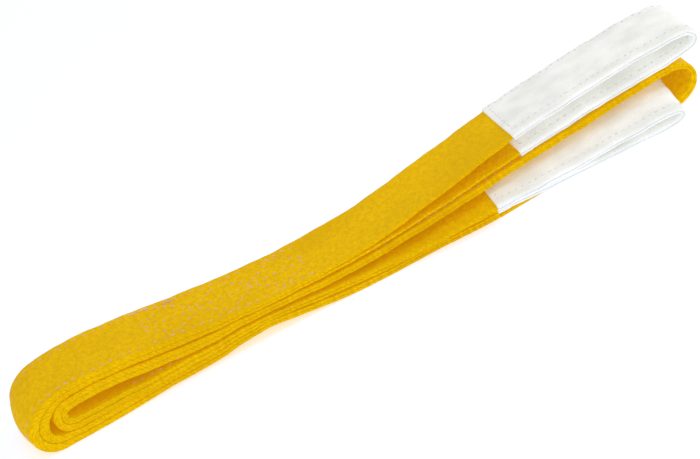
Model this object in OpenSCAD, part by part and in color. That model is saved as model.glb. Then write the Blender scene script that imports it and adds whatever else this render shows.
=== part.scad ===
// Two-ply flat web sling with a sleeved eye at each end, rolled up flat.
// The strap is wound like a flat coil: the upper eye is its free outer end on
// top of the stack, and the lower eye is its inner end, held in the right bight.
// Level 1 is the run on the ground, level 4 is the run on top.

/* [Webbing] */
// Width of the webbing
web_w = 90; // [80:1:92]
// Thickness of one ply of webbing
ply_t = 3; // [2.4:0.1:3]
// Gap between the two plies that are sewn together
ply_gap = 0.1; // [0.05:0.05:0.2]

/* [Sleeves] */
// Thickness of the sleeve's cloth
sleeve_t = 1.4; // [0.8:0.1:1.4]
// Gap between the sleeve's cloth and the webbing inside it
sleeve_gap = 0.1; // [0.05:0.05:0.15]
// Distance from the left end of the stack to the upper sleeve's ends
upper_sleeve_x = 553; // [530:1:580]
// Distance from the left end of the stack to the lower sleeve's ends
lower_sleeve_x = 509; // [490:1:530]

/* [Stitching] */
// Distance of the edge seams from the webbing's edge
seam_inset = 8; // [5:0.5:12]
// Width of one row of thread
thread_w = 1.4; // [0.8:0.1:2]
// Height that a row of thread stands proud of the webbing
thread_t = 0.25; // [0.15:0.05:0.25]
// Number of slanting legs in each zigzag of a splice
splice_legs = 6; // [4:1:8]
// Distance of the sleeve's back seam, which closes the tube, from the webbing's edge
sleeve_back_inset = 5; // [3:0.5:8]
// Distance of the sleeve's front seam from the webbing's edge
sleeve_front_inset = 11; // [8:0.5:14]
// Distance of the sleeve's end rows from its ends
sleeve_end_inset = 6; // [4:0.5:12]

/* [Label] */
// Length of the blank identification label
label_l = 80; // [60:1:90]
// Width of the label
label_w = 38; // [30:1:40]
// Thickness of the label
label_t = 0.6; // [0.4:0.1:1]

/* [Hidden] */

// The stack's own places run from its left end, and the whole part is then
// moved so that its origin is below the middle of its box.
stack_to_origin = [-382.5, 8.7, 0];

band_half = ply_t + ply_gap / 2;
edge_v = web_w / 2;
seam_v = edge_v - seam_inset;

// Where the body stops and each eye starts.
upper_throat_x = 330;
lower_throat_x = 290;
throat_gap = 0.3;

// Points of the centre line of a run, hand placed:
// [x along the stack, y of the middle, z, roll dz/dy, skew -dx/dy, bulk].
// Bulk swells the plies in and near the tight left folds, where the cloth bunches up.
body_points = [
    // level 4, from the upper throat to the left
    [upper_throat_x, 1, 31.7, 0, 0, 1], [290, 1, 32.9, 0, 0, 1],
    [257, 1.5, 34.6, 0, 0, 1.1], [233, 2, 36.3, 0, 0, 1.25],
    [207, 2, 38.7, 0, 0, 1.48], [176, 2.5, 42.3, 0, 0, 1.75],
    [150, 3, 45.9, 0, 0, 1.74], [124, 3, 49, 0, 0, 1.74],
    [100, 3, 51.3, 0, 0, 1.74], [72, 3, 52.6, 0, 0, 1.74], [46, 3, 51.2, 0, 0, 1.9],
    // outer left fold
    [30, 2, 47.6, 0, 0, 2.3], [18, 1, 40, 0, 0, 3], [11.6, 0.5, 31, 0, 0, 3.5],
    [10.6, 0, 22.5, 0, 0, 3.55], [14, 0, 15.2, 0, 0, 3.3], [23, 0, 9.4, 0, 0, 2.8],
    [42, 1, 6.6, 0, 0, 2.12],
    // level 1, on the ground, lifted at the waist
    [72, 1.5, 6.1, 0, 0, 2], [100, 2, 6.4, 0, 0, 1.95], [124, 2.5, 7, 0, 0, 1.79],
    [150, 3, 7.4, 0, 0, 1.57], [176, 2.5, 7.7, 0, 0, 1.51], [207, 2, 8.4, 0, 0, 1.36],
    [233, 1, 11.4, 0, 0, 1.18], [257, 0, 12.1, 0, 0, 1.05], [295, -2, 8.5, 0, 0, 1],
    [340, -5, 3.8, 0, 0, 1], [385, -8, 3.05, 0, 0, 1], [440, -9, 3.05, 0, 0, 1],
    [500, -13, 3.05, 0, 0, 1], [550, -9, 3.05, 0, 0.02, 1],
    [610, 0, 3.05, 0, 0.04, 1], [690, 9, 3.05, 0, 0.05, 1],
    // right bight
    [722, 12, 5, 0, 0.05, 1], [739, 14, 12.5, 0, 0.05, 1],
    [744.5, 16, 22, 0, 0.05, 1], [742, 18, 31, 0, 0.05, 1],
    [731, 18, 36.5, 0, 0.05, 1], [705, 16, 37.5, 0, 0.05, 1],
    // level 3, to the left
    [626, 9, 35.4, 0, 0.05, 1], [550, 3, 33, 0, 0.03, 1], [508, 0, 30.8, 0, 0, 1],
    [450, -2, 27, 0, 0, 1], [395, -2, 23.9, 0, 0, 1], [345, -1, 22.6, 0, 0, 1],
    [300, 0, 24.4, 0, 0, 1], [257, 1, 27.4, 0, 0, 1.07], [233, 1, 28.1, 0, 0, 1.21],
    [207, 1, 28.3, 0, 0, 1.44], [176, 1, 30.2, 0, 0, 1.6], [150, 1, 34, 0, 0, 1.62],
    [124, 1, 37.2, 0, 0, 1.66], [100, 1, 40.2, 0, 0, 1.72], [72, 1, 41.4, 0, 0, 1.74],
    // inner left fold
    [60, 1, 40.9, 0, 0, 1.71], [50, 1, 39.8, 0, 0, 1.78], [41, 1, 37.2, 0, 0, 2.05],
    [37.2, 0.5, 32.6, 0, 0, 2.5], [36.6, 0, 27.2, 0, 0, 2.55], [39.6, 0, 22.4, 0, 0, 2.45],
    [45.8, 0, 19.9, 0, 0, 2.15], [57, 0, 19.2, 0, 0, 2.02],
    // level 2, to the lower throat
    [72, 0, 19, 0, 0, 2], [100, 0, 18.8, 0, 0, 1.95], [124, 0, 18.2, 0, 0, 1.75],
    [150, 1, 17.5, 0, 0, 1.6], [176, 1, 17.4, 0, 0, 1.54], [207, 1, 17.1, 0, 0, 1.36],
    [233, 0, 18.9, 0, 0, 1.1], [257, 0, 18.9, 0, 0, 1], [lower_throat_x, -1, 16.2, 0, 0, 1]
];

// Each eye is one ply: lower leg, tip, upper leg.
upper_eye_points = [
    [upper_throat_x + throat_gap, 1, 30.15, 0, 0, 1], [390, 1, 30.2, 0, 0, 1],
    [463, 3, 34.3, 0, 0.02, 1], [552, 6, 41.4, 0, 0.03, 1],
    [636, 9, 46.2, 0, 0.03, 1], [704, 12, 48, 0, 0.02, 1],
    [742, 13, 49.8, -0.01, 0.02, 1], [757, 13, 53, -0.02, 0.02, 1],
    [761.5, 13, 59.5, -0.02, 0.02, 1], [755, 12.5, 66, -0.03, 0.02, 1],
    [738, 12, 68.3, -0.03, 0.02, 1], [704, 11, 68.4, -0.03, 0.02, 1],
    [636, 8, 66, -0.03, 0.02, 1], [552, 5, 58.6, -0.04, 0.03, 1],
    [463, 3, 45, -0.015, 0.02, 1], [390, 1, 35.4, 0, 0, 1],
    [upper_throat_x + throat_gap, 1, 33.25, 0, 0, 1]
];
lower_eye_points = [
    [lower_throat_x + throat_gap, -1, 14.65, 0, 0, 1], [330, -3, 10.8, 0, -0.03, 1],
    [390, -8, 8.3, 0, -0.04, 1], [450, -12, 8.9, 0, -0.04, 1],
    [513, -16, 9.7, 0, -0.04, 1], [600, -26, 9.7, 0, -0.04, 1],
    [670, -32, 9.7, 0, -0.05, 1], [700, -34, 10, 0, -0.06, 1],
    [711, -34, 12, 0, -0.07, 1], [714.5, -34, 15.8, 0, -0.07, 1],
    [711, -34, 19.8, 0, -0.07, 1], [700, -34, 21.6, 0, -0.06, 1],
    [670, -33, 21.3, 0, -0.05, 1], [600, -31, 18.8, 0, -0.04, 1],
    [513, -25, 16.5, 0, -0.04, 1], [450, -18, 13.3, 0, -0.04, 1],
    [390, -10, 12, 0, -0.04, 1], [330, -3, 14.2, 0, -0.03, 1],
    [lower_throat_x + throat_gap, -1, 17.75, 0, 0, 1]
];

// Longest piece of a sampled centre line, and the fewest pieces in a span.
span_max = 24;
span_pieces = 2;

// ---- smooth curve through the points ----

// Square root of the distance between two points, which spaces the curve.
function knot(a, b) = sqrt(norm([b.x - a.x, b.y - a.y, b.z - a.z]));

// Slope of the curve at b, between its neighbours a and c.
function slope(a, b, c) =
    (b - a) / knot(a, b) - (c - a) / (knot(a, b) + knot(b, c)) + (c - b) / knot(b, c);

// Point at t, from 0 to 1, between b and c.
function curve_point(a, b, c, d, t) =
    let (k = knot(b, c), m = k * slope(a, b, c), n = k * slope(b, c, d))
    (2 * t^3 - 3 * t^2 + 1) * b + (t^3 - 2 * t^2 + t) * m
        + (3 * t^2 - 2 * t^3) * c + (t^3 - t^2) * n;

// A run never dips below the ground.
function grounded(p) = [p.x, p.y, max(p.z, band_half * p[5]), p[3], p[4], p[5]];

function curve(points) =
    let (
        n = len(points),
        first = 2 * points[0] - points[1],
        last = 2 * points[n - 1] - points[n - 2],
        p = concat([first], points, [last])
    )
    concat(
        [for (i = [1 : n - 1])
            let (pieces = max(span_pieces, ceil(knot(p[i], p[i + 1])^2 / span_max)))
            for (j = [0 : pieces - 1])
                grounded(curve_point(p[i - 1], p[i], p[i + 1], p[i + 2], j / pieces))],
        [points[n - 1]]
    );

// Frames along a curve: [x, y, z, roll, skew, bulk, outward x, outward z].
function frames(points) =
    let (c = curve(points), last = len(c) - 1)
    [for (i = [0 : last])
        let (
            a = c[max(i - 1, 0)],
            b = c[min(i + 1, last)],
            l = norm([b.x - a.x, b.z - a.z])
        )
        concat(c[i], [(b.z - a.z) / l, (a.x - b.x) / l])];

// Point on a frame, v across the webbing and h outward from the middle.
function on(f, v, h) =
    [f.x - f[4] * v + f[6] * h, f.y + v, f.z + f[3] * v + f[7] * h];

body = frames(body_points);
upper_eye = frames(upper_eye_points);
lower_eye = frames(lower_eye_points);

// Frame at x, on a line between frames f and g.
function between(f, g, x) = f + (g - f) * (x - f.x) / (g.x - f.x);

// Frame at x on a run that never turns back in x.
function frame_at(run, x) =
    let (i = [for (j = [0 : len(run) - 2]) if ((run[j].x - x) * (run[j + 1].x - x) <= 0) j][0])
    between(run[i], run[i + 1], x);

// Part of a run from x0 to x1, which come in the run's own order.
function cut(run, x0, x1) =
    let (lo = min(x0, x1) + 1, hi = max(x0, x1) - 1)
    concat([frame_at(run, x0)], [for (f = run) if (f.x > lo && f.x < hi) f],
        [frame_at(run, x1)]);

// Stretch of a path between two of its frames.
function stretch(path, first, last) = [for (i = [first : last]) path[i]];

// The body's runs, parted at the farthest frames of its three folds.
body_x = [for (f = body) f.x];
outer_fold = search(min(body_x), body_x)[0];
bight = search(max(body_x), body_x)[0];
inner_x = [for (i = [bight : len(body) - 1]) body[i].x];
inner_fold = bight + search(min(inner_x), inner_x)[0];
level_4 = stretch(body, 0, outer_fold);
level_3 = stretch(body, bight, inner_fold);
level_2 = stretch(body, inner_fold, len(body) - 1);

// ---- swept solids ----

// Solid swept through the rings, each with the same number of corners.
module sweep(rings) {
    m = len(rings[0]);
    n = len(rings);
    sides = [for (i = [0 : n - 2])
        for (j = [0 : m - 1])
            let (a = m * i + j, b = m * i + (j + 1) % m)
            each [[a, b + m, b], [a, a + m, b + m]]];
    e = m * (n - 1);
    caps = [for (j = [1 : m - 2]) each [[0, j, j + 1], [e, e + j + 1, e + j]]];
    translate(stack_to_origin)
        polyhedron(points = [for (r = rings) each r], faces = concat(sides, caps));
}

// Ring from v0 to v1 across the webbing and from h0 to h1 outward.
function ring(f, v0, v1, h0, h1) =
    [on(f, v0, h0), on(f, v0, h1), on(f, v1, h1), on(f, v1, h0)];

// One ply of the two-ply body; side is 1 for the outer ply and -1 for the inner.
module body_ply(side) {
    near = side * ply_gap / 2;
    far = side * band_half;
    sweep([for (f = body)
        ring(f, -edge_v, edge_v, min(near, far) * f[5], max(near, far) * f[5])]);
}

// The single ply of an eye.
module eye_ply(path) {
    sweep([for (f = path) ring(f, -edge_v, edge_v, -ply_t / 2, ply_t / 2)]);
}

sleeve_in = ply_t / 2 + sleeve_gap;
sleeve_out = sleeve_in + sleeve_t;
sleeve_side_in = edge_v + sleeve_gap;
sleeve_side_out = sleeve_side_in + sleeve_t;

// Stretch of an eye from x on its lower leg, round the tip, to x on its upper leg.
function sleeve_path(path, x) =
    let (
        n = len(path),
        a = [for (i = [0 : n - 2]) if (path[i].x <= x && path[i + 1].x > x) i][0],
        b = [for (i = [0 : n - 2]) if (path[i].x > x && path[i + 1].x <= x) i][0]
    )
    concat([between(path[a], path[a + 1], x)], [for (f = path) if (f.x > x + 1) f],
        [between(path[b], path[b + 1], x)]);

// Flat tube of cloth round an eye's webbing.
module sleeve(path) {
    n = len(path);
    points = [for (f = path) each concat(
        ring(f, -sleeve_side_out, sleeve_side_out, -sleeve_out, sleeve_out),
        ring(f, -sleeve_side_in, sleeve_side_in, -sleeve_in, sleeve_in))];
    outside = [for (i = [0 : n - 2])
        for (j = [0 : 3])
            let (a = 8 * i + j, b = 8 * i + (j + 1) % 4)
            each [[a, b + 8, b], [a, a + 8, b + 8]]];
    inside = [for (i = [0 : n - 2])
        for (j = [0 : 3])
            let (a = 8 * i + 4 + j, b = 8 * i + 4 + (j + 1) % 4)
            each [[a, b, b + 8], [a, b + 8, a + 8]]];
    e = 8 * (n - 1);
    ends = [for (j = [0 : 3])
        let (k = (j + 1) % 4)
        each [[j, k + 4, j + 4], [j, k, k + 4],
            [e + j, e + k + 4, e + k], [e + j, e + j + 4, e + k + 4]]];
    translate(stack_to_origin)
        polyhedron(points = points, faces = concat(outside, inside, ends));
}

// ---- threads ----

// Clear space between a thread and the cloth that it lies on, and what is
// added to it where the thread runs across the webbing.
thread_lift = 0.05;
cross_lift = 0.15;

// Ring of a thread from v0 to v1, lying at a height on the outward or inward side.
function thread_ring(f, v0, v1, height, side) =
    let (h0 = height * f[5] + thread_lift, h1 = h0 + thread_t)
    side > 0 ? ring(f, v0, v1, h0, h1) : ring(f, v0, v1, -h1, -h0);

// Row of thread along a path, v across it.
module row(path, v, height, side = 1) {
    sweep([for (f = path)
        thread_ring(f, v - thread_w / 2, v + thread_w / 2, height, side)]);
}

// Row of thread across a run at x, from v0 to v1.
module cross_row(run, x, v0, v1, height, side = 1) {
    a = frame_at(run, x - thread_w / 2);
    b = frame_at(run, x + thread_w / 2);
    order = run[0].x < run[len(run) - 1].x ? [a, b] : [b, a];
    sweep([for (f = order) thread_ring(f, v0, v1, height + cross_lift, side)]);
}

// Zigzag of thread along a run from x0 to x1, between v0 and v1.
leg_pieces = 4;
module zigzag(run, x0, x1, v0, v1, height, side) {
    n = splice_legs * leg_pieces;
    sweep([for (i = [0 : n])
        let (
            t = i / leg_pieces,
            up = t % 2,
            v = v0 + (v1 - v0) * (up < 1 ? up : 2 - up)
        )
        thread_ring(frame_at(run, x0 + (x1 - x0) * i / n),
            v - thread_w / 2, v + thread_w / 2, height + cross_lift, side)]);
}

// Stitching that closes the throat of an eye: three rows and two zigzags
// between them.
zigzag_clear = 4;
module splice(run, x0, x1, side) {
    path = cut(run, x0, x1);
    for (v = [-seam_v, 0, seam_v])
        row(path, v, band_half, side);
    for (v = [-1, 1])
        zigzag(run, x0, x1, v * zigzag_clear, v * (seam_v - zigzag_clear), band_half, side);
}

// Seam of the body at v: from the splice to the outer fold's tip, and from the
// bight's tip along level 3. Both stretches run to the left.
splice_clear = 3;
level_3_seam_end = 380;
module body_seam(v) {
    x = splice_left_x - splice_clear;
    row(concat([frame_at(level_4, x)], [for (f = level_4) if (f.x < x - 1) f]),
        v, band_half);
    row(concat([for (f = level_3) if (f.x > level_3_seam_end + 1) f],
        [frame_at(level_3, level_3_seam_end)]), v, band_half);
}

// Ends of the two splices.
splice_left_x = 148;
splice_right_x = 324;
lower_splice_left_x = 108;
lower_splice_right_x = 284;

// ---- sub-parts ----

module outer_ply() {
    color("gold") body_ply(1);
}

module inner_ply() {
    color("goldenrod") body_ply(-1);
}

module front_edge_seam() {
    color("pink") body_seam(-seam_v);
}

module back_edge_seam() {
    color("pink") body_seam(seam_v);
}

module upper_splice_stitching() {
    color("pink") splice(level_4, splice_right_x, splice_left_x, 1);
}

module lower_splice_stitching() {
    color("pink") splice(level_2, lower_splice_left_x, lower_splice_right_x, -1);
}

// The label lies on level 3, under level 4, in its back half.
label_x = 290;
label_v = 2;
label_run = cut(level_3, label_x + label_l, label_x);
label_base = band_half + 0.1;
module identification_label() {
    color("royalblue")
        sweep([for (f = label_run)
            ring(f, label_v, label_v + label_w, label_base, label_base + label_t)]);
}

label_seam_inset = 3;
module label_stitching() {
    color("white")
        for (v = [label_v + label_seam_inset, label_v + label_w - label_seam_inset])
            row(label_run, v, label_base + label_t);
}

module upper_eye_webbing() {
    color("gold") eye_ply(upper_eye);
}

module lower_eye_webbing() {
    color("gold") eye_ply(lower_eye);
}

upper_sleeve = sleeve_path(upper_eye, upper_sleeve_x);
lower_sleeve = sleeve_path(lower_eye, lower_sleeve_x);
sleeve_front_v = sleeve_front_inset - edge_v;
sleeve_back_v = edge_v - sleeve_back_inset;

module upper_eye_sleeve() {
    color("white") sleeve(upper_sleeve);
}

module lower_eye_sleeve() {
    color("white") sleeve(lower_sleeve);
}

module upper_sleeve_front_seam() {
    color("lavenderblush") row(upper_sleeve, sleeve_front_v, sleeve_out);
}

module upper_sleeve_back_seam() {
    color("lavenderblush") row(upper_sleeve, sleeve_back_v, sleeve_out);
}

module lower_sleeve_front_seam() {
    color("lavenderblush") row(lower_sleeve, sleeve_front_v, sleeve_out);
}

module lower_sleeve_back_seam() {
    color("lavenderblush") row(lower_sleeve, sleeve_back_v, sleeve_out);
}

// Rows across a sleeve's two ends, short of its long seams.
module end_rows(path, x) {
    half = floor(len(path) / 2);
    lower_leg = stretch(path, 0, half);
    upper_leg = stretch(path, half, len(path) - 1);
    for (leg = [lower_leg, upper_leg])
        cross_row(leg, x + sleeve_end_inset, sleeve_front_v + thread_w,
            sleeve_back_v - thread_w, sleeve_out);
}

module upper_sleeve_end_stitching() {
    color("lavenderblush") end_rows(upper_sleeve, upper_sleeve_x);
}

module lower_sleeve_end_stitching() {
    color("lavenderblush") end_rows(lower_sleeve, lower_sleeve_x);
}

outer_ply();
inner_ply();
front_edge_seam();
back_edge_seam();
upper_splice_stitching();
lower_splice_stitching();
identification_label();
label_stitching();
upper_eye_webbing();
upper_eye_sleeve();
upper_sleeve_front_seam();
upper_sleeve_back_seam();
upper_sleeve_end_stitching();
lower_eye_webbing();
lower_eye_sleeve();
lower_sleeve_front_seam();
lower_sleeve_back_seam();
lower_sleeve_end_stitching();
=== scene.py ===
"""Looks of a flat web sling, wound up flat: a two-ply yellow strap with a white sleeved eye at each end."""

import math

import bpy
import numpy as np
from mathutils import Matrix, Vector


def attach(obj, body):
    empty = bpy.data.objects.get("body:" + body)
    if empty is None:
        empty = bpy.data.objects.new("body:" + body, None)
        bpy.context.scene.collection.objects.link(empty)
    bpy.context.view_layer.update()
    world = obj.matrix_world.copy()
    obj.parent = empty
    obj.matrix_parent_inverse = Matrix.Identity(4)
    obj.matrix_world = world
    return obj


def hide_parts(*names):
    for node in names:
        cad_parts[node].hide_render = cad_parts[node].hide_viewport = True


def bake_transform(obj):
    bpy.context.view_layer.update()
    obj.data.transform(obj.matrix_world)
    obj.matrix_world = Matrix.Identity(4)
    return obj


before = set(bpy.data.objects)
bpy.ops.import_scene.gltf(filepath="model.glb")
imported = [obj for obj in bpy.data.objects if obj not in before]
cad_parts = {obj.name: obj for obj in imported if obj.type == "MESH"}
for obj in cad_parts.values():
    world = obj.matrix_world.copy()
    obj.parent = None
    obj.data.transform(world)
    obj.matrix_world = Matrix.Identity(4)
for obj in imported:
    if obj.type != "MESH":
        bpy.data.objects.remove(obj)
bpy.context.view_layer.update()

TURN = 2 * math.pi

# ---- sizes, in metres ----
# x is a place along the stack, s a distance along a run, v a place across the webbing, and h a
# height outward from the middle of the run.

# The webbing: a ply's half width, thickness and rounded edge, and the gap between two plies.
WEB_HALF = 0.045
PLY_T = 0.003
PLY_EDGE = 0.0007
PLY_GAP = 0.0001
BAND_HALF = PLY_T + PLY_GAP / 2

# A sleeve: its faces' heights, the half width that stays flat, where it starts, and its hems.
SLEEVE_IN = 0.0016
SLEEVE_OUT = 0.003
SLEEVE_FLAT = 0.0435
UPPER_SLEEVE_X = 0.553
LOWER_SLEEVE_X = 0.509
HEM_LENGTH = 0.013
HEM_THICKER = 0.0006
HEM_STEP = 0.0015

# Seams: their places across the webbing and along the stack.
SEAM_V = 0.037
SLEEVE_FRONT_V = -0.034
SLEEVE_BACK_V = 0.040
SLEEVE_BACK_SWING = 0.002
SLEEVE_SEAM_INSET = 0.003
SLEEVE_ZIGZAG_LEG = 0.009
SLEEVE_END_INSET = 0.006
SLEEVE_END_HALF = 0.038
SEAM_AFTER_SPLICE = 0.003
SEAM_PAST_FOLD = 0.016
SEAM_BEFORE_BIGHT = 0.012
LEVEL_3_SEAM_END = 0.38
UPPER_SPLICE = (0.148, 0.324)
LOWER_SPLICE = (0.108, 0.284)
SPLICE_LEGS = 6
ZIGZAG_NEAR = 0.004
ZIGZAG_FAR = 0.033

# Ends (x, v) of the loose thread and of the tuft that it comes from.
LOOSE_END = ((0.168, 0.0385), (0.143, 0.0400))
TUFT = ((0.191, 0.0355), (0.179, 0.0345))

LABEL = {"x": (0.290, 0.370), "v": (0.002, 0.040), "thick": 0.0006, "lift": 0.0001, "inset": 0.003}

# The strap's places run from the stack's left end; this moves them into the part's frame.
STACK_TO_ORIGIN = np.array([-0.3825, 0.0087, 0.0])

# The left folds bow out in the middle, and their edges lie back.
BOW_ENDS = (0.020, 0.080)
BOW_MIDDLE = 0.001
BOW_EDGE = 0.0048

# Unevenness of the cloth: height, length along and across the strap, and phase of each wave.
RIPPLES = (
    (0.00022, 0.061, 0.21, 0.4), (0.00016, 0.037, -0.11, 1.9),
    (0.0001, 0.019, 0.055, 3.1), (0.0002, 0.127, 0.07, 5.0),
)
RIPPLE_END_FADE = 0.03
RIPPLE_GROUND_FADE = 0.01
RIPPLE_ON_GROUND = 0.15

# A sleeve's creases: their heights, the cloth's lift under them, and how the two faces differ.
CREASE_LIFT = 0.0003
LONG_CREASE = 0.00012
CROSS_CREASE = 0.00014
FINE_CREASE = 0.00006
FACE_SHIFT = 1.7

# A selvedge: the height of its weave's teeth, the height and length of each slower wave, and how
# far those waves shift for each metre of a ply's height.
SELVEDGE_TOOTH = 0.00022
SELVEDGE_WAVES = ((0.00016, 0.0073), (0.00018, 0.0131), (0.0002, 0.031))
SELVEDGE_PHASE = 40

# How finely the pieces are drawn.
CURVE_PIECES = 40
RING_STEP = 0.002
EDGE_POINTS = 8
SLEEVE_FLAT_POINTS = 41
SLEEVE_TURN_POINTS = 12
SLEEVE_INNER_RINGS = 90
LABEL_RINGS = 41
LABEL_POINTS = 21
STITCH_RINGS = 9
STITCH_SIDES = 8
STITCH_RING_UV = 0.001
STITCH_SIDE_UV = 0.0004

# A sleeve's rolled lip: how far back each ring lies, its share of the cloth's thickness, and how
# far in the sleeve's inner face starts.
LIP_BACK = np.array([0.0022, 0.0012, 0.0005, 0.0001, 0, 0.0001, 0.0005])
LIP_SHARE = np.array([1, 0.96, 0.82, 0.62, 0.42, 0.2, 0.05])
LIP_INSIDE = 0.0015

# Stitches vary: where each starts in its pitch, its length, its sway across the row and its swell.
STITCH_SHIFT = 0.09
STITCH_SPAN = (0.6, 1.15)
STITCH_SWAY = 0.25
STITCH_SWELL = (0.65, 1.2)

# A stitch's middle stands out of the cloth and its ends sink in, in shares of its radius.
STITCH_ARCH = 1.15
STITCH_SINK = 0.85

# Hollows that the stitches pull into the outer ply: depth and half width of each kind.
ROW_DENT = (0.0006, 0.0024)
ZIGZAG_DENT = (0.0005, 0.0034)
DENT_FADE = 0.006
DENT_PITCH = 0.010

# Points of each centre line: x along the stack, y of its middle, z, roll, skew and bulk.
BODY_POINTS = [
    # level 4, from the upper throat to the left
    (0.33, 0.001, 0.0317, 0, 0, 1), (0.29, 0.001, 0.0329, 0, 0, 1),
    (0.257, 0.0015, 0.0346, 0, 0, 1.1), (0.233, 0.002, 0.0363, 0, 0, 1.25),
    (0.207, 0.002, 0.0387, 0, 0, 1.48), (0.176, 0.0025, 0.0423, 0, 0, 1.75),
    (0.15, 0.003, 0.0459, 0, 0, 1.74), (0.124, 0.003, 0.049, 0, 0, 1.74),
    (0.1, 0.003, 0.0513, 0, 0, 1.74), (0.072, 0.003, 0.0526, 0, 0, 1.74),
    (0.046, 0.003, 0.0512, 0, 0, 1.9),
    # outer left fold
    (0.03, 0.002, 0.0476, 0, 0, 2.3), (0.018, 0.001, 0.04, 0, 0, 3),
    (0.0116, 0.0005, 0.031, 0, 0, 3.5), (0.0106, 0, 0.0225, 0, 0, 3.55),
    (0.014, 0, 0.0152, 0, 0, 3.3), (0.023, 0, 0.0094, 0, 0, 2.8),
    (0.042, 0.001, 0.0066, 0, 0, 2.12),
    # level 1, on the ground, lifted at the waist
    (0.072, 0.0015, 0.0061, 0, 0, 2), (0.1, 0.002, 0.0064, 0, 0, 1.95),
    (0.124, 0.0025, 0.007, 0, 0, 1.79), (0.15, 0.003, 0.0074, 0, 0, 1.57),
    (0.176, 0.0025, 0.0077, 0, 0, 1.51), (0.207, 0.002, 0.0084, 0, 0, 1.36),
    (0.233, 0.001, 0.0114, 0, 0, 1.18), (0.257, 0, 0.0121, 0, 0, 1.05),
    (0.295, -0.002, 0.0085, 0, 0, 1), (0.34, -0.005, 0.0038, 0, 0, 1),
    (0.385, -0.008, 0.00305, 0, 0, 1), (0.44, -0.009, 0.00305, 0, 0, 1),
    (0.5, -0.013, 0.00305, 0, 0, 1), (0.55, -0.009, 0.00305, 0, 0.02, 1),
    (0.61, 0, 0.00305, 0, 0.04, 1), (0.69, 0.009, 0.00305, 0, 0.05, 1),
    # right bight
    (0.722, 0.012, 0.005, 0, 0.05, 1), (0.739, 0.014, 0.0125, 0, 0.05, 1),
    (0.7445, 0.016, 0.022, 0, 0.05, 1), (0.742, 0.018, 0.031, 0, 0.05, 1),
    (0.731, 0.018, 0.0365, 0, 0.05, 1), (0.705, 0.016, 0.0375, 0, 0.05, 1),
    # level 3, to the left
    (0.626, 0.009, 0.0354, 0, 0.05, 1), (0.55, 0.003, 0.033, 0, 0.03, 1),
    (0.508, 0, 0.0308, 0, 0, 1), (0.45, -0.002, 0.027, 0, 0, 1),
    (0.395, -0.002, 0.0239, 0, 0, 1), (0.345, -0.001, 0.0226, 0, 0, 1),
    (0.3, 0, 0.0244, 0, 0, 1), (0.257, 0.001, 0.0274, 0, 0, 1.07),
    (0.233, 0.001, 0.0281, 0, 0, 1.21), (0.207, 0.001, 0.0283, 0, 0, 1.44),
    (0.176, 0.001, 0.0302, 0, 0, 1.6), (0.15, 0.001, 0.034, 0, 0, 1.62),
    (0.124, 0.001, 0.0372, 0, 0, 1.66), (0.1, 0.001, 0.0402, 0, 0, 1.72),
    (0.072, 0.001, 0.0414, 0, 0, 1.74),
    # inner left fold
    (0.06, 0.001, 0.0409, 0, 0, 1.71), (0.05, 0.001, 0.0398, 0, 0, 1.78),
    (0.041, 0.001, 0.0372, 0, 0, 2.05), (0.0372, 0.0005, 0.0326, 0, 0, 2.5),
    (0.0366, 0, 0.0272, 0, 0, 2.55), (0.0396, 0, 0.0224, 0, 0, 2.45),
    (0.0458, 0, 0.0199, 0, 0, 2.15), (0.057, 0, 0.0192, 0, 0, 2.02),
    # level 2, to the lower throat
    (0.072, 0, 0.019, 0, 0, 2), (0.1, 0, 0.0188, 0, 0, 1.95),
    (0.124, 0, 0.0182, 0, 0, 1.75), (0.15, 0.001, 0.0175, 0, 0, 1.6),
    (0.176, 0.001, 0.0174, 0, 0, 1.54), (0.207, 0.001, 0.0171, 0, 0, 1.36),
    (0.233, 0, 0.0189, 0, 0, 1.1), (0.257, 0, 0.0189, 0, 0, 1),
    (0.29, -0.001, 0.0162, 0, 0, 1),
]
UPPER_EYE_POINTS = [
    (0.33, 0.001, 0.03015, 0, 0, 1), (0.39, 0.001, 0.0302, 0, 0, 1),
    (0.463, 0.003, 0.0343, 0, 0.02, 1), (0.552, 0.006, 0.0414, 0, 0.03, 1),
    (0.636, 0.009, 0.0462, 0, 0.03, 1), (0.704, 0.012, 0.048, 0, 0.02, 1),
    (0.742, 0.013, 0.0498, -0.01, 0.02, 1), (0.757, 0.013, 0.053, -0.02, 0.02, 1),
    (0.7615, 0.013, 0.0595, -0.02, 0.02, 1), (0.755, 0.0125, 0.066, -0.03, 0.02, 1),
    (0.738, 0.012, 0.0683, -0.03, 0.02, 1), (0.704, 0.011, 0.0684, -0.03, 0.02, 1),
    (0.636, 0.008, 0.066, -0.03, 0.02, 1), (0.552, 0.005, 0.0586, -0.04, 0.03, 1),
    (0.463, 0.003, 0.045, -0.015, 0.02, 1), (0.39, 0.001, 0.0354, 0, 0, 1),
    (0.33, 0.001, 0.03325, 0, 0, 1),
]
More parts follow.
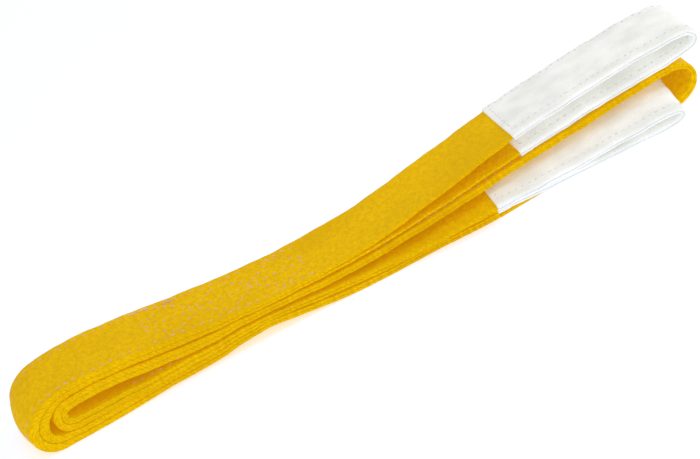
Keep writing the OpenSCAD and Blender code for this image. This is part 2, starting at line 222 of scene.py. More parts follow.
LOWER_EYE_POINTS = [
    (0.29, -0.001, 0.01465, 0, 0, 1), (0.33, -0.003, 0.0108, 0, -0.03, 1),
    (0.39, -0.008, 0.0083, 0, -0.04, 1), (0.45, -0.012, 0.0089, 0, -0.04, 1),
    (0.513, -0.016, 0.0097, 0, -0.04, 1), (0.6, -0.026, 0.0097, 0, -0.04, 1),
    (0.67, -0.032, 0.0097, 0, -0.05, 1), (0.7, -0.034, 0.01, 0, -0.06, 1),
    (0.711, -0.034, 0.012, 0, -0.07, 1), (0.7145, -0.034, 0.0158, 0, -0.07, 1),
    (0.711, -0.034, 0.0198, 0, -0.07, 1), (0.7, -0.034, 0.0216, 0, -0.06, 1),
    (0.67, -0.033, 0.0213, 0, -0.05, 1), (0.6, -0.031, 0.0188, 0, -0.04, 1),
    (0.513, -0.025, 0.0165, 0, -0.04, 1), (0.45, -0.018, 0.0133, 0, -0.04, 1),
    (0.39, -0.01, 0.012, 0, -0.04, 1), (0.33, -0.003, 0.0142, 0, -0.03, 1),
    (0.29, -0.001, 0.01775, 0, 0, 1),
]

# ---- centre lines ----


def smooth(points, pieces=CURVE_PIECES):
    """Dense samples of the smooth curve through the points, lifted where it would enter the ground."""
    p = np.array(points, float)
    p = np.vstack([2 * p[0] - p[1], p, 2 * p[-1] - p[-2]])

    def knot(a, b):
        return math.sqrt(np.linalg.norm((b - a)[:3]))

    def slope(a, b, c):
        return (b - a) / knot(a, b) - (c - a) / (knot(a, b) + knot(b, c)) + (c - b) / knot(b, c)

    t = np.linspace(0, 1, pieces, endpoint=False)[:, None]
    spans = []
    for a, b, c, d in zip(p[:-3], p[1:-2], p[2:-1], p[3:]):
        m = knot(b, c) * slope(a, b, c)
        n = knot(b, c) * slope(b, c, d)
        spans.append(
            (2 * t**3 - 3 * t**2 + 1) * b + (t**3 - 2 * t**2 + t) * m
            + (3 * t**2 - 2 * t**3) * c + (t**3 - t**2) * n
        )
    spans.append(p[-2:-1])
    out = np.vstack(spans)
    out[:, 2] = np.maximum(out[:, 2], BAND_HALF * out[:, 5])
    return out


def smoothstep(t):
    """A soft step from 0 to 1 as t goes from 0 to 1."""
    t = np.clip(t, 0, 1)
    return t * t * (3 - 2 * t)


class Run:
    """A strap's centre line, with a frame at every ring."""

    def __init__(self, points):
        dense = smooth(points)
        steps = np.linalg.norm(np.diff(dense[:, :3], axis=0), axis=1)
        along = np.concatenate([[0], np.cumsum(steps)])
        self.length = along[-1]
        self.s = np.linspace(0, self.length, int(round(self.length / RING_STEP)) + 1)
        self.x, self.y, self.z, roll, skew, bulk = (np.interp(self.s, along, c) for c in dense.T)
        dx, dz = np.gradient(self.x), np.gradient(self.z)
        size = np.hypot(dx, dz)
        self.columns = [self.x, self.y, self.z, roll, skew, bulk, dz / size, -dx / size]

    def at(self, s, v, h):
        """Point at s along the run, v across it and h outward from its middle."""
        x, y, z, roll, skew, _, nx, nz = (np.interp(s, self.s, c) for c in self.columns)
        bow = (BOW_EDGE * (v / WEB_HALF) ** 2 - BOW_MIDDLE) * smoothstep(
            (BOW_ENDS[1] - x) / (BOW_ENDS[1] - BOW_ENDS[0])
        )
        place = np.stack([x + bow - skew * v + nx * h, y + v + 0 * h, z + roll * v + nz * h], -1)
        return place + STACK_TO_ORIGIN

    def bulk(self, s):
        """How many times thicker than flat webbing the plies are drawn there."""
        return np.interp(s, self.s, self.columns[5])

    def where(self, x, after=0.0):
        """Distance along the run at which it first passes x, after a given distance."""
        hit = (self.x[:-1] - x) * (self.x[1:] - x) <= 0
        i = np.nonzero(hit & (self.s[:-1] >= after))[0][0]
        t = (x - self.x[i]) / (self.x[i + 1] - self.x[i])
        return self.s[i] + t * (self.s[i + 1] - self.s[i])

    def ripple(self, s, v):
        """Slight unevenness that all the cloth on a run shares, fading at its ends and on the ground."""
        total = sum(
            a * np.sin(TURN * (s / along + v / across) + start) for a, along, across, start in RIPPLES
        )
        ends = smoothstep(np.minimum(s, self.length - s) / RIPPLE_END_FADE)
        lifted = (np.interp(s, self.s, self.z) - BAND_HALF * self.bulk(s)) / RIPPLE_GROUND_FADE
        return total * ends * (RIPPLE_ON_GROUND + (1 - RIPPLE_ON_GROUND) * smoothstep(lifted))


body = Run(BODY_POINTS)
upper_eye = Run(UPPER_EYE_POINTS)
lower_eye = Run(LOWER_EYE_POINTS)

# Places of the folds along the body, and of each eye's tip along the eye.
OUTER_FOLD_S = body.s[np.argmin(body.x)]
BIGHT_S = body.s[np.argmax(body.x)]
INNER_FOLD_S = body.s[np.argmin(np.where(body.s > BIGHT_S, body.x, body.x.max()))]
TIP_S = {eye: eye.s[np.argmax(eye.x)] for eye in (upper_eye, lower_eye)}


# ---- meshes ----


def piece(name, points, faces, uv, material, sharp_rings=None):
    """A smooth-shaded mesh. sharp_rings is the ring size of a loft whose two end rings stay sharp."""
    mesh = bpy.data.meshes.new(name)
    mesh.from_pydata(points, [], faces)
    mesh.polygons.foreach_set("use_smooth", np.ones(len(mesh.polygons), bool))
    corner = np.zeros(len(mesh.loops), np.int32)
    mesh.loops.foreach_get("vertex_index", corner)
    layer = mesh.uv_layers.new(name="weave")
    layer.data.foreach_set("uv", np.asarray(uv, np.float32)[corner].ravel())
    if sharp_rings:
        ends = np.zeros(len(mesh.edges) * 2, np.int32)
        mesh.edges.foreach_get("vertices", ends)
        ring = ends.reshape(-1, 2) // sharp_rings
        last = len(points) // sharp_rings - 1
        at_end = (ring[:, 0] == ring[:, 1]) & ((ring[:, 0] == 0) | (ring[:, 0] == last))
        sharp = mesh.attributes.new("sharp_edge", "BOOLEAN", "EDGE")
        sharp.data.foreach_set("value", at_end)
    mesh.materials.append(material)
    mesh.update()
    made = bpy.data.objects.new(name, mesh)
    bpy.context.scene.collection.objects.link(made)
    return made


def grid_faces(rings, size):
    """Quads between successive rings of a loft whose rings are closed."""
    i = np.arange(rings - 1)[:, None] * size
    j = np.arange(size)
    k = (j + 1) % size
    return np.stack([i + j, i + j + size, i + k + size, i + k], -1).reshape(-1, 4)


def capped_faces(rings, size):
    """The faces of a closed loft: its grid, and a cap on each end."""
    caps = [list(range(size)), list(range(rings * size - 1, (rings - 1) * size - 1, -1))]
    return grid_faces(rings, size).tolist() + caps


def weave_uv(s, v):
    """UV coordinates in metres of cloth, along and across it, one for each point of a loft."""
    return np.stack(np.broadcast_arrays(s, v), -1).reshape(-1, 2)


def ply_section(outward, inward):
    """Closed section of a ply: v across it, share 0 to 1 of its thickness, and how far it is on an edge."""
    flat = WEB_HALF - PLY_EDGE
    turn = np.linspace(0, math.pi, EDGE_POINTS)[1:-1]
    v = np.concatenate([
        np.linspace(-flat, flat, outward), flat + PLY_EDGE * np.sin(turn),
        np.linspace(flat, -flat, inward), -flat - PLY_EDGE * np.sin(turn),
    ])
    share = np.concatenate([
        np.ones(outward), 0.5 + 0.5 * np.cos(turn), np.zeros(inward), 0.5 - 0.5 * np.cos(turn),
    ])
    edge = np.concatenate([np.zeros(outward), np.sin(turn), np.zeros(inward), np.sin(turn)])
    return v, share, edge


def ply(name, run, low, high, outward, inward, u_start, dent=None):
    """One ply of webbing between two heights from the run's middle, with a serrated selvedge."""
    v, share, edge = ply_section(outward, inward)
    s = run.s[:, None]
    tooth = np.where(np.arange(len(run.s)) % 2, SELVEDGE_TOOTH, -SELVEDGE_TOOTH)[:, None]
    phase = np.sign(v) + SELVEDGE_PHASE * low
    wave = sum(a * np.sin(TURN * s / along + phase) for a, along in SELVEDGE_WAVES)
    wide = v + np.sign(v) * edge * (tooth + wave)
    h = (low + (high - low) * share) * run.bulk(s) + run.ripple(s, wide)
    if dent:
        h = h - dent(s, v) * share
    points = run.at(s + 0 * wide, wide, h).reshape(-1, 3)
    size = len(v)
    down_side = np.where(edge > 0, np.sign(v) * (1 - share), 0) * (high - low) * run.bulk(s)
    uv = weave_uv(u_start + s, wide + down_side)
    return piece(name, points, capped_faces(len(run.s), size), uv, WEBBING, sharp_rings=size)


def sleeve_span(run):
    """Where a sleeve starts on the lower leg and ends on the upper leg."""
    x = UPPER_SLEEVE_X if run is upper_eye else LOWER_SLEEVE_X
    return run.where(x), run.where(x, after=TIP_S[run])


def sleeve(name, run):
    """Flat tube of cloth round an eye's webbing, with a turned hem at both ends."""
    s0, s1 = sleeve_span(run)
    flat = np.linspace(-SLEEVE_FLAT, SLEEVE_FLAT, SLEEVE_FLAT_POINTS)
    turn = np.linspace(0, math.pi, SLEEVE_TURN_POINTS)[1:-1]
    base = np.concatenate([flat, 0 * turn + SLEEVE_FLAT, flat[::-1], 0 * turn - SLEEVE_FLAT])
    right = np.concatenate([0 * flat, np.sin(turn), 0 * flat, -np.sin(turn)])
    up = np.concatenate([0 * flat + 1, np.cos(turn), 0 * flat - 1, -np.cos(turn)])
    between_s = np.linspace(s0, s1, int((s1 - s0) / RING_STEP))[2:-2]
    outer_s = np.concatenate([(s0 + LIP_BACK)[::-1], between_s, s1 - LIP_BACK])
    outer_share = np.concatenate([LIP_SHARE[::-1], 0 * between_s + 1, LIP_SHARE])
    inner_s = np.linspace(s1 - LIP_INSIDE, s0 + LIP_INSIDE, SLEEVE_INNER_RINGS)
    s = np.concatenate([outer_s, inner_s])
    share = np.concatenate([outer_share, 0 * inner_s])
    thick = SLEEVE_OUT - SLEEVE_IN + hem(s, s0, s1)
    grid_s = s[:, None] + 0 * base
    crease = wrinkle(grid_s, base + right * SLEEVE_OUT, up)
    off = SLEEVE_IN + share[:, None] * (thick[:, None] + crease)
    v = base + right * off
    h = up * off + run.ripple(grid_s, v)
    points = run.at(grid_s, v, h).reshape(-1, 3)
    size, rings = len(base), len(s)
    faces = grid_faces(rings, size)
    first, last = np.arange(size), (rings - 1) * size + np.arange(size)
    close = np.stack([last, first, np.roll(first, -1), np.roll(last, -1)], -1)
    uv = weave_uv(grid_s, np.sign(up) * v)
    return piece(name, points, np.vstack([faces, close]).tolist(), uv, SLEEVE_CLOTH)


def wrinkle(s, v, up):
    """Height of the soft creases of a sleeve. The two faces have different ones."""
    shift = np.where(up > 0, 0.0, FACE_SHIFT)
    long = np.sin(TURN * (v / 0.031 + 0.25 * np.sin(TURN * s / 0.11)) + 0.8 + shift)
    cross = np.sin(TURN * (s / 0.043 + v / 0.16) + shift) * np.sin(TURN * s / 0.093 + 1.2)
    fine = np.sin(TURN * (s / 0.0185 - v / 0.05) + 2.1 * shift) * np.sin(TURN * (v / 0.062) + s * 31)
    return CREASE_LIFT + LONG_CREASE * long + CROSS_CREASE * cross + FINE_CREASE * fine


# ---- stitches ----


def unit(vectors):
    return vectors / np.linalg.norm(vectors, axis=-1, keepdims=True)


class Row:
    """A line of stitches through points (s, v) on a run's outward (side 1) or inward (side -1) face."""

    def __init__(self, run, points, height, side=1, pitch=0.0098, gap=0.0050, radius=0.0008):
        self.run, self.side, self.pitch, self.gap, self.radius = run, side, pitch, gap, radius
        self.points = np.array(points, float)
        self.height = height
        steps = np.linalg.norm(np.diff(self.points, axis=0), axis=1)
        self.along = np.concatenate([[0], np.cumsum(steps)])

    def tubes(self, random):
        """Rings of every stitch's bent tube: an array of stitches, rings, corners and coordinates."""
        count = max(1, int(self.along[-1] / self.pitch))
        shift = (self.along[-1] - count * self.pitch) / 2
        start = shift + self.pitch * np.arange(count) + self.gap / 2
        start = start + random.uniform(-STITCH_SHIFT, STITCH_SHIFT, count) * self.pitch
        span = (self.pitch - self.gap) * random.uniform(*STITCH_SPAN, count)
        t = np.linspace(0, 1, STITCH_RINGS)
        d = start[:, None] + span[:, None] * t
        sway = random.uniform(-STITCH_SWAY, STITCH_SWAY, count)[:, None] * self.radius
        s = np.interp(d, self.along, self.points[:, 0])
        v = np.interp(d, self.along, self.points[:, 1]) + sway
        arch = np.sqrt(np.sin(np.pi * np.clip(t, 0.001, 0.999)))
        lift = self.radius * (STITCH_ARCH * arch - STITCH_SINK)
        h = self.side * (self.height(s, v) + lift)
        centre = self.run.at(s, v, h)
        out = unit(self.run.at(s, v, h + self.side * self.radius) - centre)
        across = unit(np.cross(unit(np.gradient(centre, axis=1)), out))
        angle = np.arange(STITCH_SIDES) * TURN / STITCH_SIDES
        swell = random.uniform(*STITCH_SWELL, count)[:, None, None, None]
        thick = self.radius * (0.5 + 0.5 * arch)[:, None, None] * swell
        ring = np.cos(angle)[:, None] * across[:, :, None] + np.sin(angle)[:, None] * out[:, :, None]
        return centre[:, :, None] + thick * ring


def stitches(name, rows, material, seed):
    """One piece with every stitch of some rows, each a closed bent tube."""
    random = np.random.default_rng(seed)
    tubes = np.concatenate([row.tubes(random) for row in rows])
    size = STITCH_RINGS * STITCH_SIDES
    one = [face[::-1] for face in capped_faces(STITCH_RINGS, STITCH_SIDES)]
    faces = [[i + k * size for i in face] for k in range(len(tubes)) for face in one]
    along = np.arange(STITCH_RINGS)[:, None] * STITCH_RING_UV
    uv = np.tile(weave_uv(along, np.arange(STITCH_SIDES) * STITCH_SIDE_UV), (len(tubes), 1))
    return piece(name, tubes.reshape(-1, 3), faces, uv, material)


def zigzag_v(s, s0, s1, v0, v1, legs):
    """Place across the webbing of a zigzag with that many slanting legs."""
    up = ((s - s0) / (s1 - s0) * legs) % 2
    return v0 + (v1 - v0) * np.where(up < 1, up, 2 - up)


def zigzag_points(s0, s1, v0, v1, legs):
    """Corners of the same zigzag."""
    return [(s0 + (s1 - s0) * i / legs, v1 if i % 2 else v0) for i in range(legs + 1)]


SPLICE_S = (body.where(UPPER_SPLICE[1]), body.where(UPPER_SPLICE[0]))
ZIGZAG_V = [(side * ZIGZAG_NEAR, side * ZIGZAG_FAR) for side in (-1, 1)]


def body_dents(s, v):
    """Depth of the hollows that the stitches pull into the outer ply."""
    s0, s1 = SPLICE_S
    here = smoothstep((s - s0) / DENT_FADE) * smoothstep((s1 - s) / DENT_FADE)

    def dent(kind, place):
        depth, half_width = kind
        return depth * np.exp(-(((v - place) / half_width) ** 2))

    seams = dent(ROW_DENT, -SEAM_V) + dent(ROW_DENT, SEAM_V)
    splice = dent(ROW_DENT, 0) + sum(
        dent(ZIGZAG_DENT, zigzag_v(s, s0, s1, *ends, SPLICE_LEGS)) for ends in ZIGZAG_V
    )
    tight = 0.75 + 0.25 * np.cos(TURN * s / DENT_PITCH)
    return (seams + splice * here) * tight


def body_top(s, v):
    """Height of the body's outward face from its middle."""
    return BAND_HALF * body.bulk(s) + body.ripple(s, v) - body_dents(s, v)


def body_underside(s, v):
    """Height of the body's inward face, measured inward from its middle."""
    return BAND_HALF * body.bulk(s) - body.ripple(s, v)


def hem(s, s0, s1):
    """Extra thickness of a sleeve's turned hems."""
    return HEM_THICKER * (1 - smoothstep((np.minimum(s - s0, s1 - s) - HEM_LENGTH) / HEM_STEP))


def sleeve_face(run, side):
    """Height of one face of a sleeve from the middle of the run."""
    s0, s1 = sleeve_span(run)

    def height(s, v):
        return SLEEVE_OUT + hem(s, s0, s1) + wrinkle(s, v, side) + side * run.ripple(s, v)

    return height


def body_seam(v):
    """Rows of one edge seam: on level 4 and the outer fold, and on the bight and level 3."""
    top = (SPLICE_S[1] + SEAM_AFTER_SPLICE, OUTER_FOLD_S + SEAM_PAST_FOLD)
    right = (BIGHT_S - SEAM_BEFORE_BIGHT, body.where(LEVEL_3_SEAM_END, after=BIGHT_S))
    return [Row(body, [(a, v), (b, v)], body_top) for a, b in (top, right)]


def splice_rows(span, side, height):
    """Three rows along a splice and a zigzag between each two."""
    rows = [Row(body, [(span[0], v), (span[1], v)], height, side) for v in (-SEAM_V, 0, SEAM_V)]
    for ends in ZIGZAG_V:
        rows.append(Row(body, zigzag_points(*span, *ends, SPLICE_LEGS), height, side))
    return rows


def loose_threads():
    """A thread's end that lies along the back edge, and the bright tuft that it comes from."""
    line = [(body.where(x), v) for x, v in LOOSE_END]
    tuft = [(body.where(x), v) for x, v in TUFT]
    return [
        Row(body, line, body_top, pitch=0.0125, gap=0.001, radius=0.0009),
        Row(body, tuft, body_top, pitch=0.004, gap=0.0005, radius=0.0028),
    ]


def sleeve_seam(run, v, swing):
    """Long seam of a sleeve: a row on each face, of which the outward one swings from side to side."""
    s0, s1 = sleeve_span(run)
    s0, s1 = s0 + SLEEVE_SEAM_INSET, s1 - SLEEVE_SEAM_INSET
    legs = int((s1 - s0) / SLEEVE_ZIGZAG_LEG)
    outward = zigzag_points(s0, s1, v - swing, v + swing, legs)
    return [
        Row(run, outward, sleeve_face(run, 1), 1, pitch=0.0075, gap=0.003),
        Row(run, [(s0, v), (s1, v)], sleeve_face(run, -1), -1, pitch=0.0085, gap=0.003),
    ]


def sleeve_ends(run):
    """Rows across a sleeve's hems, on both faces."""
    s0, s1 = sleeve_span(run)
    rows = []
    for s in (s0 + SLEEVE_END_INSET, s1 - SLEEVE_END_INSET):
        for side in (1, -1):
            points = [(s, -SLEEVE_END_HALF), (s, SLEEVE_END_HALF)]
            rows.append(Row(run, points, sleeve_face(run, side), side, pitch=0.007, gap=0.003))
    return rows


LABEL_S = [body.where(x, after=BIGHT_S) for x in LABEL["x"][::-1]]


def label_top(s, v):
    """Height of the label's face from the body's middle."""
    return BAND_HALF + LABEL["lift"] + LABEL["thick"] + body.ripple(s, v)


def label():
    """The blank label, a thin closed strip on level 3."""
    across = np.linspace(*LABEL["v"], LABEL_POINTS)
    v = np.concatenate([across, across[::-1]])
    share = np.repeat([1.0, 0.0], LABEL_POINTS)
    s = np.linspace(*LABEL_S, LABEL_RINGS)[:, None]
    h = BAND_HALF + LABEL["lift"] + LABEL["thick"] * share + body.ripple(s, v)
    points = body.at(s + 0 * v, v + 0 * s, h).reshape(-1, 3)
    faces = capped_faces(LABEL_RINGS, len(v))
    return piece("blank_label", points, faces, weave_uv(s, v), LABEL_CLOTH, sharp_rings=len(v))


def label_rows():
    """Stitches round the label, just inside its edge."""
    s0, s1 = LABEL_S[0] + LABEL["inset"], LABEL_S[1] - LABEL["inset"]
    v0, v1 = LABEL["v"][0] + LABEL["inset"], LABEL["v"][1] - LABEL["inset"]
    corners = [(s0, v0), (s1, v0), (s1, v1), (s0, v1)]
    return [
        Row(body, [a, b], label_top, pitch=0.004, gap=0.0012, radius=0.00032)
        for a, b in zip(corners, corners[1:] + corners[:1])
    ]


# ---- materials ----


class Cloth:
    """A cloth material, with short calls for its nodes. Its lengths are in metres of cloth."""

    def __init__(self, name, roughness, specular, sheen, tint):
        self.material = bpy.data.materials.new(name)
        self.material.use_nodes = True
        self.tree = self.material.node_tree
        self.shader = next(n for n in self.tree.nodes if n.type == "BSDF_PRINCIPLED")
        self.shader.inputs["Roughness"].default_value = roughness
        self.shader.inputs["Specular IOR Level"].default_value = specular
        self.shader.inputs["Specular Tint"].default_value = (*tint, 1)
        self.shader.inputs["Sheen Weight"].default_value = sheen
        self.shader.inputs["Sheen Roughness"].default_value = 0.5
        self.shader.inputs["Sheen Tint"].default_value = (*tint, 1)
        self.place = self.node("ShaderNodeUVMap", uv_map="weave").outputs[0]
        self.u, self.v, _ = self.node("ShaderNodeSeparateXYZ", self.place).outputs

    def node(self, kind, *inputs, **settings):
        """A new node with those inputs, in its sockets' order, and settings."""
        made = self.tree.nodes.new(kind)
        for key, value in settings.items():
            setattr(made, key, value)
        for socket, value in zip(made.inputs, inputs):
            self.put(socket, value)
        return made

    def put(self, socket, value):
        """Link a socket's value, or set it where it is a constant."""
        if isinstance(value, bpy.types.NodeSocket):
            self.tree.links.new(value, socket)
        elif value is not None:
            socket.default_value = value

    def math(self, operation, *inputs):
        """The outcome of a sum on one or two values."""
        return self.node("ShaderNodeMath", *inputs, operation=operation).outputs[0]

    def wave(self, value, length):
        """A smooth wave from -1 to 1 with that wavelength."""
        return self.math("SINE", self.math("MULTIPLY", value, TURN / length))

    def noise(self, size, along=1.0, detail=3.0):
        """Noise from 0 to 1 in patches of about that size, stretched along the strap."""
        scaled = self.node("ShaderNodeVectorMath", self.place, (1 / along, 1, 1), operation="MULTIPLY")
        made = self.node("ShaderNodeTexNoise", noise_dimensions="2D")
        self.put(made.inputs["Vector"], scaled.outputs[0])
        made.inputs["Scale"].default_value = 0.5 / size
        made.inputs["Detail"].default_value = detail
        return made.outputs[0]

    def spread(self, value, low, high):
        """The value taken from low..high to 0..1."""
        return self.node("ShaderNodeMapRange", value, low, high, 0, 1).outputs[0]

    def mix(self, share, a, b):
        """A colour that goes from a to b as the share goes from 0 to 1."""
        made = self.node("ShaderNodeMix", data_type="RGBA")
        for socket, value in (("Factor_Float", share), ("A_Color", a), ("B_Color", b)):
            self.put(next(i for i in made.inputs if i.identifier == socket), value)
        return next(o for o in made.outputs if o.identifier == "Result_Color")

    def finish(self, color, height, depth, glow=0.0):
        """The material, with a bump and a painted glow that lightens its shade in folds and gaps."""
        bump = self.node("ShaderNodeBump")
        bump.inputs["Strength"].default_value = 1
        bump.inputs["Distance"].default_value = depth
        self.put(bump.inputs["Height"], height)
        self.tree.links.new(bump.outputs[0], self.shader.inputs["Normal"])
        self.put(self.shader.inputs["Base Color"], color)
        # Painted glow: the cloth gives off light in its own colour, which lightens its shade.
        self.put(self.shader.inputs["Emission Color"], color)
        self.shader.inputs["Emission Strength"].default_value = glow
        return self.material


def rgb(r, g, b):
    """A colour with full alpha."""
    return (r, g, b, 1)


def webbing():
    """Yellow webbing: herringbone, heathered, slanting strands on its edges, and painted shade in hollows.
    """
    c = Cloth("yellow_webbing", 0.85, 0.1, 0.06, (1.0, 0.66, 0.03))
    chevron = c.math("PINGPONG", c.v, 0.0056)
    twill = c.wave(c.math("ADD", c.u, chevron), 0.0026)
    ribs = c.wave(c.v, 0.0019)
    yarn = c.wave(c.u, 0.0011)
    weave = c.math("ADD", c.math("MULTIPLY", twill, 0.5), c.math("MULTIPLY", ribs, 0.3))
    weave = c.math("ADD", weave, c.math("MULTIPLY", yarn, 0.2))
    far = c.math("ABSOLUTE", c.v)
    side = c.spread(far, WEB_HALF - 0.0005, WEB_HALF + 0.0003)
    slant = c.math("ADD", c.u, c.math("MULTIPLY", far, 1.5))
    strand = c.wave(c.math("ADD", slant, c.math("MULTIPLY", c.noise(0.006, 1, 2), 0.007)), 0.0058)
    fleck = c.noise(0.0013, 1.2, 3)
    heather = c.noise(0.004, 0.7, 4)
    soft = c.noise(0.055, 1.2, 2)
    color = c.mix(c.spread(heather, 0.36, 0.64), rgb(0.66, 0.385, 0.0008), rgb(0.75, 0.45, 0.001))
    color = c.mix(c.math("MULTIPLY", c.spread(fleck, 0.5, 0.75), 0.4), color, rgb(0.86, 0.56, 0.004))
    color = c.mix(c.math("MULTIPLY", c.spread(fleck, 0.48, 0.25), 0.3), color, rgb(0.50, 0.28, 0.001))
    color = c.mix(c.math("MULTIPLY", c.spread(soft, 0.45, 0.7), 0.5), color, rgb(0.60, 0.34, 0.001))
    # Painted shade: the low parts of the weave are darkened.
    valley_shade = c.math("MULTIPLY", c.spread(weave, 0.1, -0.9), 0.25)
    color = c.mix(valley_shade, color, rgb(0.45, 0.24, 0.001))
    # Painted shade: the furrows between the edge's slanting strands are darkened.
    furrow_shade = c.math("MULTIPLY", side, c.spread(strand, 0.1, -1.0))
    color = c.mix(c.math("MULTIPLY", furrow_shade, 0.35), color, rgb(0.50, 0.27, 0.001))
    height = c.math("ADD", c.math("MULTIPLY", weave, 0.5), c.math("MULTIPLY", heather, 0.8))
    height = c.math("ADD", height, c.math("MULTIPLY", c.math("MULTIPLY", strand, side), 0.5))
    # Painted glow 0.28: the webbing gives off light in its own colour, which lightens the shade inside its
    # folds and gaps.
    return c.finish(color, height, 0.00035, 0.28)


def sleeve_cloth():
    """White sleeve: a dense plain weave with a slight grey bloom, and painted shade in the weave's hollows.
    """
    c = Cloth("white_sleeve", 0.85, 0.15, 0.1, (1, 1, 1))
    weave = c.math("MULTIPLY", c.wave(c.u, 0.0021), c.wave(c.v, 0.0021))
    cord = c.wave(c.math("ADD", c.u, c.v), 0.0042)
    slub = c.noise(0.003, 1.5, 4)
    bloom = c.noise(0.014, 1.3, 3)
    color = c.mix(c.spread(bloom, 0.35, 0.7), rgb(0.66, 0.665, 0.63), rgb(0.755, 0.755, 0.735))
    # Painted shade: the low parts of the weave are darkened.
    color = c.mix(c.math("MULTIPLY", c.spread(weave, 0.0, -1.0), 0.18), color, rgb(0.66, 0.66, 0.60))
    height = c.math("ADD", c.math("MULTIPLY", weave, 0.35), c.math("MULTIPLY", cord, 0.15))
    height = c.math("ADD", height, slub)
    # Painted glow 0.34: the sleeve gives off light in its own colour, which lightens its shade in the eyes'
    # gaps.
    return c.finish(color, height, 0.00035, 0.34)


def thread(name, light, groove_shade, tint):
    """Sewing thread: twisted strands, with painted shade in the grooves between them."""
    c = Cloth(name, 0.6, 0.3, 0.1, tint)
    strand = c.wave(c.math("ADD", c.u, c.v), 0.0011)
    # Painted shade: darker in the grooves between strands, lighter on their crests.
    color = c.mix(c.spread(strand, -1, 1), groove_shade, light)
    # Painted glow 0.1: the thread gives off light in its own colour, which lightens its shade.
    return c.finish(color, strand, 0.0001, 0.1)


def label_cloth():
    """Coated label cloth: fine ribs, nothing written on it."""
    c = Cloth("label_cloth", 0.55, 0.35, 0.05, (1, 1, 1))
    ribs = c.wave(c.u, 0.0009)
    wear = c.noise(0.006, 1, 4)
    color = c.mix(c.spread(wear, 0.4, 0.75), rgb(0.012, 0.055, 0.25), rgb(0.02, 0.085, 0.34))
    return c.finish(color, c.math("ADD", ribs, wear), 0.00012)


def floor_material():
    """Matt floor, bluish against the yellow light off the sling, with a glow that keeps it white."""
    material = bpy.data.materials.new("floor")
    material.use_nodes = True
    shader = next(n for n in material.node_tree.nodes if n.type == "BSDF_PRINCIPLED")
    shader.inputs["Base Color"].default_value = rgb(0.66, 0.74, 0.97)
    shader.inputs["Roughness"].default_value = 0.9
    shader.inputs["Specular IOR Level"].default_value = 0.1
    shader.inputs["Emission Color"].default_value = rgb(1, 1, 1)
    shader.inputs["Emission Strength"].default_value = 0.46
    return material


WEBBING = webbing()
SLEEVE_CLOTH = sleeve_cloth()
PINK_THREAD = thread("pink_thread", rgb(0.93, 0.66, 0.46), rgb(0.66, 0.34, 0.18), (1, 0.8, 0.7))
WHITE_THREAD = thread("white_thread", rgb(0.90, 0.90, 0.87), rgb(0.74, 0.73, 0.68), (1, 1, 1))
LABEL_CLOTH = label_cloth()


# ---- pieces ----

# Points across a ply's face: many where stitches dent it, some where it is seen, few inside.
DENTED, SEEN, HIDDEN = 59, 31, 15

outer = ply("outer_ply_webbing", body, PLY_GAP / 2, BAND_HALF, DENTED, HIDDEN, 0, body_dents)
inner = ply("inner_ply_webbing", body, -BAND_HALF, -PLY_GAP / 2, HIDDEN, SEEN, 0)
upper_web = ply("upper_eye_strap", upper_eye, -PLY_T / 2, PLY_T / 2, SEEN, SEEN, -upper_eye.length)
lower_web = ply("lower_eye_strap", lower_eye, -PLY_T / 2, PLY_T / 2, SEEN, SEEN, body.length)
upper_sleeve = sleeve("upper_eye_wear_sleeve", upper_eye)
lower_sleeve = sleeve("lower_eye_wear_sleeve", lower_eye)
blank_label = label()

LOWER_SPLICE_S = [body.where(x, after=INNER_FOLD_S) for x in LOWER_SPLICE]
front_seam = stitches("front_edge_stitches", body_seam(-SEAM_V), PINK_THREAD, 1)
back_seam = stitches("back_edge_stitches", body_seam(SEAM_V) + loose_threads(), PINK_THREAD, 2)
upper_splice = stitches("upper_splice_stitches", splice_rows(SPLICE_S, 1, body_top), PINK_THREAD, 3)
lower_splice = stitches(
    "lower_splice_stitches", splice_rows(LOWER_SPLICE_S, -1, body_underside), PINK_THREAD, 4,
)
label_seam = stitches("label_stitches", label_rows(), WHITE_THREAD, 5)

ON_BODY = {
    outer: ("outer_ply", "yellow_webbing"), inner: ("inner_ply", "yellow_webbing"),
    blank_label: ("identification_label", "label_cloth"), label_seam: ("label_stitching", "white_thread"),
    front_seam: ("front_edge_seam", "pink_thread"), back_seam: ("back_edge_seam", "pink_thread"),
    upper_splice: ("upper_splice_stitching", "pink_thread"),
    lower_splice: ("lower_splice_stitching", "pink_thread"),
}
for made, (node, slot) in ON_BODY.items():
    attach(made, "folded_body")
    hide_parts(node)

EYES = (
    ("upper_eye", upper_eye, upper_web, upper_sleeve, 10),
    ("lower_eye", lower_eye, lower_web, lower_sleeve, 20),
)
SEAM_NODES = {"front": "front_seam", "back": "back_seam", "end": "end_stitching"}

for eye, run, strap, tube, seed in EYES:
    sleeve_name = eye.replace("eye", "sleeve")
    rows = {
        "front": sleeve_seam(run, SLEEVE_FRONT_V, 0),
        "back": sleeve_seam(run, SLEEVE_BACK_V, SLEEVE_BACK_SWING),
        "end": sleeve_ends(run),
    }
    seams = {
        kind: stitches(f"{sleeve_name}_{kind}_stitches", rows[kind], WHITE_THREAD, seed + i)
        for i, kind in enumerate(rows)
    }
    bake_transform(strap)
    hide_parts(f"{eye}_webbing")
    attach(tube, eye)
    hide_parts(f"{eye}_sleeve")
    s0, s1 = sleeve_span(run)
    for kind, seam in seams.items():
        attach(seam, eye)
        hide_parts(f"{sleeve_name}_{SEAM_NODES[kind]}")


# ---- stage, lights and camera ----


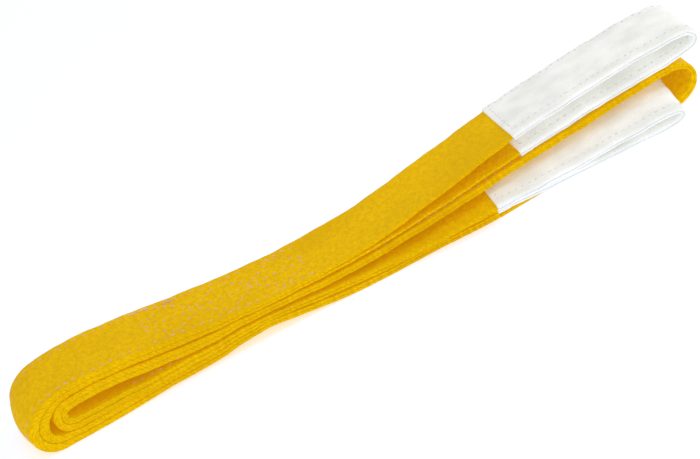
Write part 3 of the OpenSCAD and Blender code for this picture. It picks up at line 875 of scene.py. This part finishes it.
def make_floor():
    """A wide flat floor at the object's feet."""
    half = 9.0
    corners = [(-half, -half, 0), (half, -half, 0), (half, half, 0), (-half, half, 0)]
    mesh = bpy.data.meshes.new("floor")
    mesh.from_pydata(corners, [], [(0, 1, 2, 3)])
    mesh.materials.append(floor_material())
    floor = bpy.data.objects.new("floor", mesh)
    bpy.context.scene.collection.objects.link(floor)


def soft_light(name, place, size, power, color):
    """A square lamp that faces the object."""
    lamp = bpy.data.lights.new(name, "AREA")
    lamp.size, lamp.energy, lamp.color = size, power, color
    made = bpy.data.objects.new(name, lamp)
    bpy.context.scene.collection.objects.link(made)
    made.location = place
    made.rotation_mode = "QUATERNION"
    made.rotation_quaternion = (-Vector(place)).to_track_quat("-Z", "Y")
    made.visible_camera = False


def studio():
    """White surroundings, a soft key light from the front and a fill near the eyes."""
    world = bpy.data.worlds.new("studio")
    world.use_nodes = True
    background = next(n for n in world.node_tree.nodes if n.type == "BACKGROUND")
    background.inputs[0].default_value = rgb(1, 1, 1)
    background.inputs[1].default_value = 0.7
    bpy.context.scene.world = world
    soft_light("key", (-0.5, -2.8, 1.5), 1.8, 17, (1, 1, 0.99))
    soft_light("fill", (1.5, -0.2, 1.0), 1.2, 8, (0.99, 0.99, 1))
    bpy.context.scene.view_settings.view_transform = "Standard"


def camera():
    """A long lens, from above the front, turned so that the sling rises to the right."""
    azimuth, elevation, roll = (math.radians(angle) for angle in (-6, 26.5, 26))
    distance = 4.0
    target = Vector(STACK_TO_ORIGIN + (0.3758, 0, 0.0388))
    right = Vector((math.cos(azimuth), math.sin(azimuth), 0))
    level_back = Vector((math.sin(azimuth), -math.cos(azimuth), 0))
    back = math.cos(elevation) * level_back + Vector((0, 0, math.sin(elevation)))
    up = back.cross(right)
    turned_right = math.cos(roll) * right - math.sin(roll) * up
    turned_up = math.sin(roll) * right + math.cos(roll) * up
    data = bpy.data.cameras.new("camera")
    data.lens, data.sensor_width, data.clip_start, data.clip_end = 209.8, 36, 0.1, 50
    made = bpy.data.objects.new("camera", data)
    bpy.context.scene.collection.objects.link(made)
    axes = Matrix((turned_right, turned_up, back)).transposed().to_4x4()
    made.matrix_world = Matrix.Translation(target + distance * back) @ axes
    bpy.context.scene.camera = made


make_floor()
studio()
camera()
